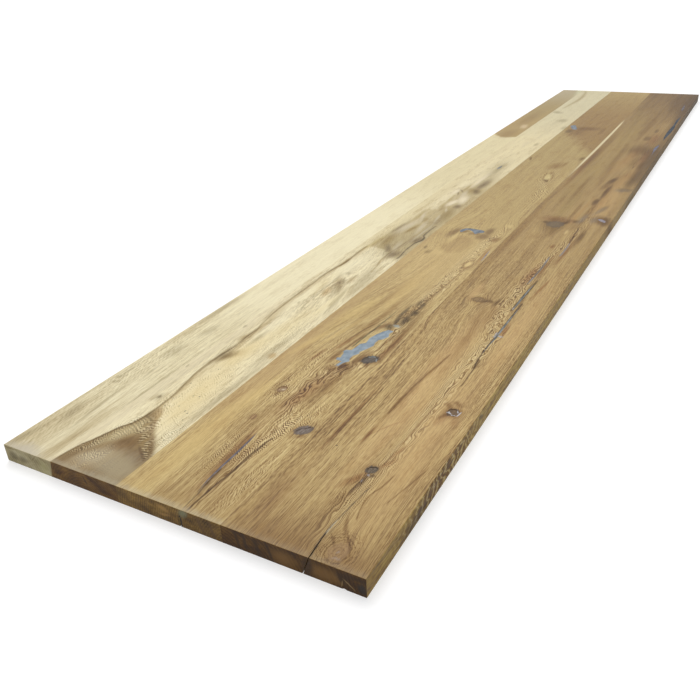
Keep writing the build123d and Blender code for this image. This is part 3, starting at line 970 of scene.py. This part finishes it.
def honey_end(stave):
    """Near end of the honey stave."""
    stave.dust(0.35)
    stave.end_grain([(62, 44, 18), (102, 77, 38), (140, 110, 58)], 3.4)
    stave.end_covers((122, 126, 100), 0.7, (315, 4, 7, 5, -40, 0.7))
    stave.end_covers((84, 63, 42), 0.7, (357, 14, 14, 2, 78, 0.6), (340, 12, 13, 2.5, 70, 0.8))
    stave.end_covers((164, 128, 76), 0.6, (284, 8, 9, 3, 20, 0.7), (286, 17, 8, 2, -10, 0.7))
    stave.end_covers((30, 25, 22), 0.95, (309, 20, 2.6, 11, 0, 0.3, 0.2))


def honey_wood():
    stave = Stave(
        "honey wood", (420.0, 60.0), 23.0,
        knots=[
            (203.5, 357.5, 12.5, 8.5, 36), (417, 349.5, 13.5, 9.5, 38), (283, 270.5, 8, 6, 10),
            (202, 275, 6, 4, 0), (455, 318, 85, 18, 0), (198, 328, 24, 8, 0), (1052, 285, 40, 42, 0),
            (1520, 325, 16, 7, -22), (1112, 356, 12, 10, 0), (858, 349.5, 15, 6.5, 0),
        ],
        drift=[(0, 6), (340, 0), (430, 5), (560, 26), (700, 48), (850, 56), (1000, 56), (3000, 56)],
        fade=(295, 345),
        swirl=[
            (0, 330, 16, 0.3), (110, 320, 20, 0.55), (220, 318, 22, 0.6), (300, 300, 26, 0.65),
            (370, 316, 30, 0.8), (450, 352, 16, 0.6), (600, 336, 18, 1.3), (760, 342, 24, 1.6),
            (930, 338, 26, 1.3), (1060, 348, 20, 0.6), (1200, 350, 16, 0.1), (1390, 345, 20, 0.4),
            (1545, 324, 24, 0.7), (1640, 324, 20, 0.1), (3000, 330, 16, 0.1),
        ],
    )
    honey_ground(stave)
    honey_hollows(stave)
    honey_checks(stave)
    honey_far(stave)
    honey_knots(stave)
    honey_end(stave)
    return stave.finish(0.5)


def brown_ground(stave):
    """Bare wood of the brown stave, and its stains."""
    stave.grain(0.5, 0.55, 1.2, 1.0, far=0.85)
    stave.ripple(2.8, 40, 0.6, (190, 497, 30, 9, 0, 0.8), (120, 485, 40, 14), (400, 547, 90, 5, 0, 0.8))
    stave.paint([(96, 70, 38), (142, 112, 68), (178, 150, 100), (198, 171, 116), (220, 198, 148)])
    stave.stains(
        (206, 190, 182), 0.75,
        (2, 440, 44, 66, 0, 0.95), (4, 530, 30, 30, 0, 0.95), (60, 400, 60, 14),
    )
    stave.stains(RUST, 0.9, (232, 443, 20, 2.4, 4, 0.8), (306, 518, 12, 5, 15))
    stave.stains(RUST, 0.7, (250, 401, 70, 2.5, 0, 0.8), (262, 460, 30, 1.5, 30, 0.8), (308, 536, 14, 6, -20))
    stave.stains(RUST, 0.8, (138, 470, 18, 5, 30), (186, 495, 12, 4, 30, 0.8), (212, 496, 14, 2, 10, 0.8))
    stave.covers(
        (212, 178, 124), 0.5,
        (420, 460, 200, 20), (240, 520, 170, 24), (290, 468, 120, 16, 4), (600, 530, 200, 14),
        (735, 412, 40, 8, 0, 0.5), (1370, 522, 140, 22, 0, 0.8),
    )
    stave.stains(
        UMBER, 0.6,
        (250, 401, 60, 4, 0, 0.5), (235, 443, 22, 3, 3, 0.5), (320, 446, 60, 4, 4, 0.5),
        (420, 452, 70, 4, 6, 0.5), (560, 462, 110, 8, -3, 0.8), (640, 470, 60, 10, 0, 0.8),
        (110, 478, 50, 5, 4, 0.8),
    )
    stave.stains(
        UMBER, 0.6,
        (1000, 380, 320, 12, 0, 0.8), (1090, 519, 60, 7, 0, 0.5), (1290, 466, 70, 5, 0, 0.5),
        (1365, 492, 30, 6, 0, 0.5), (1450, 501, 70, 7, 0, 0.5), (1545, 490, 60, 9, 8, 0.5),
        (1250, 496, 120, 8, 2, 0.5),
    )
    stave.stains((196, 186, 162), 0.7, (1166, 446, 44, 28, 10), (1104, 520, 34, 6))
    stave.stains(SMUDGE, 0.85, (1175, 423, 8, 9, 0, 0.8), (1189, 467, 16, 7, 20, 0.8), (1205, 480, 10, 12))
    stave.stains(LOAM, 0.9, (1228, 540, 34, 20, -20, 0.6), (704, 463, 16, 4, 4, 0.8), (699, 447, 5, 12))
    stave.stains(
        (188, 180, 168), 0.8,
        (1315, 522, 34, 7, 10, 0.6), (1500, 540, 18, 18, -20, 0.6), (1640, 540, 130, 12, 0, 0.7),
        (1850, 548, 140, 12, 0, 0.8),
    )
    stave.stains(
        (176, 162, 146), 0.7,
        (1940, 505, 90, 28), (2115, 497, 32, 10, 0, 0.6), (2240, 508, 30, 7, 0, 0.6),
        (2760, 520, 260, 40, 0, 0.8),
    )


def brown_streaks(stave):
    """Golden, rusty and grey streaks of the far half, and painted shade that darkens the stave towards the
    far end.
    """
    along, across = stave.along, stave.across
    stave.covers(
        (186, 164, 104), 0.45,
        (2150, 430, 330, 34, -1), (1650, 420, 260, 30, 2), (1330, 436, 130, 14), (2480, 402, 160, 10, -3),
    )
    stave.covers(
        (190, 152, 96), 0.55,
        (1270, 478, 110, 5, 2, 0.8), (1360, 511, 70, 8, -2, 0.8), (1600, 520, 110, 12, 6),
        (1830, 488, 130, 14, 4),
    )
    stave.stains(
        (206, 176, 158), 0.8,
        (1720, 386, 200, 6), (1860, 530, 90, 10), (2110, 520, 80, 14), (1205, 440, 20, 30),
    )
    stave.stains(
        LOAM, 0.8,
        (1470, 499, 60, 5, 2, 0.8), (1580, 494, 30, 7, 10, 0.8), (1372, 494, 26, 6, 0, 0.8),
    )
    stave.covers(
        (146, 138, 124), 0.42,
        (1225, 495, 34, 6, 4, 0.8), (1300, 518, 34, 6, 12), (1226, 520, 20, 7), (1492, 536, 18, 12, 60),
    )
    stave.stains(
        (204, 192, 172), 0.8,
        (1950, 506, 50, 34), (1790, 512, 60, 10), (1760, 536, 40, 8), (1120, 454, 40, 10, 6),
    )
    stave.stains(
        (200, 184, 158), 0.7,
        (1900, 392, 260, 9), (1780, 458, 190, 8, -1), (2330, 472, 220, 9), (1480, 430, 110, 6),
    )
    edge = across.ramp(520, 556) * along.ramp(1480, 1620)
    stave.stain(edge, (178, 168, 160), 0.85)
    stave.mottle(HAZE, 0.4)
    # Painted shade: the stave darkens steadily towards the far end, as light falls off along the board; it is
    # also darker at the near end
    stave.tone(
        [
            (0, 0.5), (200, 0.25), (500, 0.15), (700, 0.3), (1000, 0.45), (1500, 0.7), (2000, 0.85),
            (2500, 0.9), (3000, 1.0),
        ],
        (200, 192, 178),
    )
    # Painted shade: the last stretch of the stave is darkened further towards the far end
    stave.tone([(2200, 0.0), (2700, 0.6), (3000, 1.0)], (206, 200, 196))


def brown_checks(stave):
    """Checks in the wood: the open one at the near end and the thin run beside the heart."""
    stave.line(
        [(0, 491, 1.2), (20, 488.5, 1.2), (45, 487, 1.0), (74, 489, 0.6), (140, 496, 0.4)], (70, 56, 44), 0.9,
        "MIX",
    )
    stave.line([(38, 488.5, 0.5), (50, 488, 0.9), (70, 490, 0.4)], (214, 200, 168), 0.8, "MIX", soft=0.6)
    stave.line(
        [
            (395, 510, 0.6), (450, 509, 1.0), (500, 504, 1.2), (560, 504, 1.6), (600, 505, 2.2),
            (720, 506, 1.0),
        ],
        (140, 128, 116), 0.95,
    )
    stave.line([(452, 507, 1.0), (472, 508, 2.6), (492, 506, 1.0)], PEAT, 0.9)
    stave.line([(672, 497, 1.0), (740, 499, 3.0), (800, 501, 2.0), (835, 502, 0.6)], (150, 142, 124), 1.0)
    stave.stains(RUST, 0.8, (850, 482, 50, 7), (900, 496, 60, 3), (1000, 512, 60, 4))
    stave.stains(RUST, 0.8, (597, 511, 26, 4, 0, 0.8), (800, 519, 40, 3, 4), (1024, 479, 12, 4, 0, 0.8))
    stave.line([(800, 487, 0.8), (840, 490, 1.8), (900, 491, 1.8), (965, 488, 0.8)], (84, 84, 88), 0.8, "MIX")
    stave.line([(968, 506, 0.8), (1010, 508, 2.0), (1060, 507, 1.2)], (126, 124, 127), 0.75, "MIX")
    stave.line([(1050, 507, 1.0), (1080, 505, 2.2), (1130, 503, 1.4), (1170, 502, 0.6)], (164, 142, 128), 1.0)
    stave.line(
        [(285, 444, 1.2), (340, 445, 2.2), (395, 449, 1.2), (430, 453, 1.4), (490, 460, 0.3)], BARK, 0.8,
    )
    stave.covers(
        (178, 180, 182), 0.7,
        (573.5, 508, 2.4, 7, 0, 0.6), (580, 503, 9, 1.2, -8, 0.6), (692, 498.5, 7, 1.2, 0, 0.5),
    )
    stave.covers((168, 170, 178), 0.5, (935, 489, 14, 1.2, 0, 0.6), (830, 489.5, 14, 1.0, 0, 0.6))
    stave.covers((212, 186, 130), 0.6, (1124, 483, 12, 3))


def brown_sapwood(stave):
    """Pale strip of sapwood along the inner seam."""
    graph, along, across, rag = stave.graph, stave.along, stave.across, stave.rag
    sliver = graph.curve(along, [(1480, 371), (1750, 377), (2000, 379), (2250, 378), (2420, 371)])
    within = (sliver - across + rag * 1.2).ramp(-1.2, 1.2) * along.ramp(1500, 1780) * along.ramp(2430, 2300)
    stave.stain(within, (214, 200, 160), 0.9, "MIX")


def brown_knots(stave):
    """Bodies of the knots in the brown stave, and the white filler along their rims."""
    stave.core(0, (126, 114, 98), (84, 73, 60), 0.95, 0.6)
    stave.core(1, (118, 98, 76), (88, 70, 54), 0.85, 0.8)
    stave.stains(BARK, 0.9, (344, 513, 9, 4, -30), (350, 524, 5, 9), (316, 516, 8, 4, 20))
    stave.core(2, (150, 124, 84), (108, 84, 56), 0.75, 0.5)
    stave.core(3, (104, 94, 80), (86, 75, 62), 0.6, 0.25)
    stave.whorl(4, BARK, 0.8, 2.4, 3.4)
    stave.whorl(5, BARK, 0.5, 2.4, 2.4)
    stave.core(4, (172, 142, 104), (156, 126, 90), 0.35, 0.3)
    stave.stains(
        BARK, 0.8,
        (40, 516, 20, 2, -32, 0.7), (60, 503, 20, 1.6, -20, 0.7), (36, 500, 12, 1.6, -30, 0.7),
    )
    stave.covers((176, 168, 164), 0.25, (10, 517, 1.4, 5, -14), (19, 514, 2.5, 1.4, 20, 0.7))
    # White filler that stayed along the rim of a knot
    pale = (196, 196, 200)
    stave.covers(pale, 0.85, (325, 520, 1.2, 4.5, 40, 0.4), (322.5, 528, 1.1, 4, 0, 0.4))
    stave.covers(pale, 0.85, (328, 534.5, 5, 1.1, 6, 0.4), (335, 531, 3, 1.1, -40, 0.4))
    stave.covers(pale, 0.7, (154, 483, 2, 2, 0, 0.6), (143, 481, 2.5, 1.2, 0, 0.6))
    stave.stains(
        (132, 112, 94), 0.8,
        (142, 482, 15, 3, 4, 0.8), (124, 480, 8, 2, 0, 0.8), (155, 488, 4, 3, 40, 0.8),
    )


def brown_threads(stave):
    """Fine dark lines where the grain bends round the knots."""
    stave.line([(72, 514, 0.4), (92, 504, 0.9), (115, 502, 0.9), (140, 508, 1.0), (172, 513, 0.4)], BARK, 1.0)
    stave.line([(175, 490, 0.5), (230, 493, 1.0), (300, 495, 1.0), (345, 497, 0.5)], BARK, 0.9)
    stave.line([(112, 526, 0.4), (135, 531, 1.0), (160, 537, 1.0), (195, 544, 0.4)], BARK, 0.8)
    stave.line([(190, 401, 0.6), (240, 402, 1.2), (300, 403, 1.2), (340, 402, 0.6)], BARK, 0.7)
    stave.holes([(191, 416)], 1.4)


def brown_end(stave):
    """Near end of the brown stave."""
    stave.dust(0.12)
    stave.end_grain([(42, 24, 5), (67, 43, 12), (93, 65, 22)], 5.0)
    stave.end_covers((116, 86, 48), 0.8, (508, 15, 20, 9, 0, 0.7), (455, 15, 14, 9, 0, 0.8))
    stave.end_covers(
        (44, 29, 16), 0.75, (394, 13, 15, 2.4, 76, 0.6), (404, 10, 15, 2, 76, 0.6), (421, 13, 15, 3, 78, 0.6),
        (437, 12, 15, 2, 72, 0.7), (488, 13, 16, 6, 98, 0.6), (550, 5, 12, 3, 0, 0.8),
        (530, 12, 9, 4, 60, 0.7),
    )
    stave.end_covers((36, 32, 30), 0.85, (555, 16, 5, 7, 0, 0.6))
    stave.end_covers((146, 122, 86), 0.7, (540, 17, 8, 0.9, 40, 0.5), (531, 20, 5, 0.8, 100, 0.5))


def brown_side(stave):
    """Right side of the board: rough knotty wood near the end, and smoother beyond."""
    graph = stave.graph
    side = stave.edge.ramp(559.0, 559.7)
    stave.stain(side, (228, 227, 196), 0.9)
    rough = stave.blot(215, 14, 115, 20, 0, 0.6, plane="side")
    whorl = graph.waves(graph.stretch(stave.place, (16, 9, 5)), 9.0, 3.0, 1.2)
    stave.stain(side * rough * whorl.ramp(0.25, 0.8), (150, 124, 92), 0.9)
    stave.stain(side * rough * whorl.ramp(0.1, 0.0), (190, 176, 140), 0.6, "MIX")
    stave.stain(side * stave.blot(125, 22, 32, 8, 0, 0.8, plane="side"), GREY, 0.9)
    stave.stain(side * stave.blot(345, 9, 5, 4, 30, 0.6, plane="side"), INK, 0.6, "MIX")
    stave.stain(side * stave.blot(1200, 12, 45, 14, 20, 0.9, plane="side"), UMBER, 0.7)
    stave.stain(side * stave.blot(1470, 20, 60, 14, 0, 0.8, plane="side"), GREY, 0.9)


def brown_wood():
    stave = Stave(
        "brown wood", (330.0, 75.0), 37.0,
        knots=[
            (165.5, 482, 7.5, 6.5, 20), (329, 525, 9, 8.5, 0), (702, 428, 9, 11, 0), (1168, 446, 20, 17, 0),
            (22, 514, 13, 10, 0), (595, 492, 26, 9, 0),
        ],
        drift=[(0, 22), (350, 25), (440, 22), (560, 12), (700, 0), (1000, 0), (3000, 0)], fade=(480, 500),
        swirl=[
            (0, 500, 20, 0.3), (110, 486, 24, 0.7), (190, 494, 18, 1.0), (300, 496, 20, 1.0),
            (430, 494, 24, 1.0), (520, 500, 26, 1.0), (600, 492, 26, 1.0), (740, 482, 22, 1.0),
            (900, 486, 18, 0.8), (1050, 500, 20, 0.5), (1300, 510, 26, 0.4), (1700, 520, 26, 0.3),
            (3000, 520, 30, 0.2),
        ],
    )
    brown_ground(stave)
    brown_streaks(stave)
    brown_checks(stave)
    brown_sapwood(stave)
    brown_knots(stave)
    brown_threads(stave)
    brown_end(stave)
    brown_side(stave)
    return stave.finish(0.5)


def resin(name, dark, light, clouds=(16, 9, 9), shine=0.12):
    """Hardened filler, matt, with clouds of a given size inside."""
    material, graph, shader = new_material(name)
    place, _, _, _, _, rag, fleck = graph.use(board_space, {})
    value = graph.noise(graph.stretch(place, clouds), detail=3) + fleck * 0.25 + rag * 0.3
    graph.put(shader.inputs["Base Color"], graph.palette(value, (0.32, 0.62), (dark, light)))
    shader.inputs["Roughness"].default_value = RESIN_ROUGH
    shader.inputs["Specular IOR Level"].default_value = shine
    made = graph.node("ShaderNodeBump", {"Height": value, "Distance": RESIN_RELIEF, "Strength": 0.3})
    graph.put(shader.inputs["Normal"], made.outputs[0])
    return material


pale_resin = resin("pale blue grey filler", (122, 136, 147), (151, 164, 174), (13, 8, 8))
slate_resin = resin("slate filler", (91, 98, 106), (131, 139, 147))
deep_resin = resin("deep slate filler", (50, 56, 64), (84, 90, 98), (30, 5, 8), 0.03)
grey_resin = resin("grey filler", (82, 85, 80), (136, 138, 135), (22, 4, 5))
dark_resin = resin("dark filler", (84, 80, 86), (122, 116, 120), (12, 5, 5), 0.05)
violet_resin = resin("violet grey filler", (116, 110, 114), (154, 148, 155), (14, 5, 8))
mauve_resin = resin("mauve filler", (94, 94, 106), (124, 124, 137), (20, 5, 8), 0.03)
dull_resin = resin("dull violet filler", (84, 80, 86), (118, 113, 118), (20, 5, 8), 0.03)
MATERIALS = {
    "pale_edge_stave": pale_edge_wood(),
    "pale_inner_stave": pale_inner_wood(),
    "honey_inner_stave": honey_wood(),
    "brown_edge_stave": brown_wood(),
    "long_void_fill": pale_resin,
    "crescent_knot_fill": slate_resin,
    "far_knot_fill": slate_resin,
    "edge_split_fill": mauve_resin,
    "heart_check_fill": grey_resin,
    "inner_heart_check_fill": grey_resin,
    "sapwood_check_fill": grey_resin,
    "end_check_fill": dark_resin,
    "long_edge_split_fill": deep_resin,
    "seam_check_fill": violet_resin,
    "edge_knot_fill": violet_resin,
    "far_edge_split_fill": dull_resin,
}
for name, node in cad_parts.items():
    for slot in node.material_slots:
        slot.link = "OBJECT"
        slot.material = MATERIALS[name]


def seen_rays(graph):
    """1 for the rays that show a thing to the camera, straight or in a reflection, and 0 for the rest."""
    ray = graph.node("ShaderNodeLightPath", {}).outputs
    return Field(graph, ray["Is Camera Ray"]).most(ray["Is Glossy Ray"]).most(ray["Is Transmission Ray"])


def make_floor():
    """Pale floor: white to the camera, dimmer to the light that it throws back on the board."""
    material, graph, shader = new_material("floor")
    graph.nodes.remove(shader)
    seen = seen_rays(graph)
    grey = graph.mix(seen, FLOOR_DIM, FLOOR_SEEN)
    matt = graph.node("ShaderNodeBsdfDiffuse", {"Color": grey})
    lift = graph.node("ShaderNodeEmission", {"Strength": seen * FLOOR_GLOW})
    both = graph.node("ShaderNodeAddShader", {0: matt.outputs[0], 1: lift.outputs[0]})
    output = next(n for n in graph.nodes if n.type == "OUTPUT_MATERIAL")
    graph.put(output.inputs[0], both.outputs[0])
    bpy.ops.mesh.primitive_plane_add(size=FLOOR_SIZE, location=(0, 0, 0))
    floor = bpy.context.object
    floor.name = "floor"
    floor.data.materials.append(material)


def make_world():
    """Dim even light all round, white where the camera sees it."""
    world = bpy.data.worlds.new("studio")
    bpy.context.scene.world = world
    world.use_nodes = True
    world.node_tree.nodes.clear()
    graph = Graph(world.node_tree)
    seen = seen_rays(graph)
    background = graph.node("ShaderNodeBackground", {"Strength": seen * (1 - SKY_LIGHT) + SKY_LIGHT})
    background.inputs["Color"].default_value = (1, 1, 1, 1)
    graph.node("ShaderNodeOutputWorld", {0: background.outputs[0]})


def make_lamp(name, strength, spread, way):
    """A far lamp that shines along way."""
    lamp = bpy.data.lights.new(name, "SUN")
    lamp.energy, lamp.angle = strength, spread
    holder = bpy.data.objects.new(name, lamp)
    bpy.context.scene.collection.objects.link(holder)
    holder.rotation_mode = "QUATERNION"
    holder.rotation_quaternion = Vector(way).to_track_quat("-Z", "Y")


def make_camera():
    """The camera of the photograph."""
    lens = bpy.data.cameras.new("camera")
    lens.sensor_width, lens.lens = CAMERA_SENSOR, CAMERA_LENS
    lens.clip_start, lens.clip_end = CAMERA_REACH
    holder = bpy.data.objects.new("camera", lens)
    bpy.context.scene.collection.objects.link(holder)
    bpy.context.scene.camera = holder
    holder.location = CAMERA_PLACE
    holder.rotation_mode = "QUATERNION"
    holder.rotation_quaternion = Quaternion(CAMERA_TURN)


make_floor()
make_world()
for name, (strength, spread, way) in LAMPS.items():
    make_lamp(name, strength, spread, way)
make_camera()
bpy.context.scene.view_settings.view_transform = "Standard"
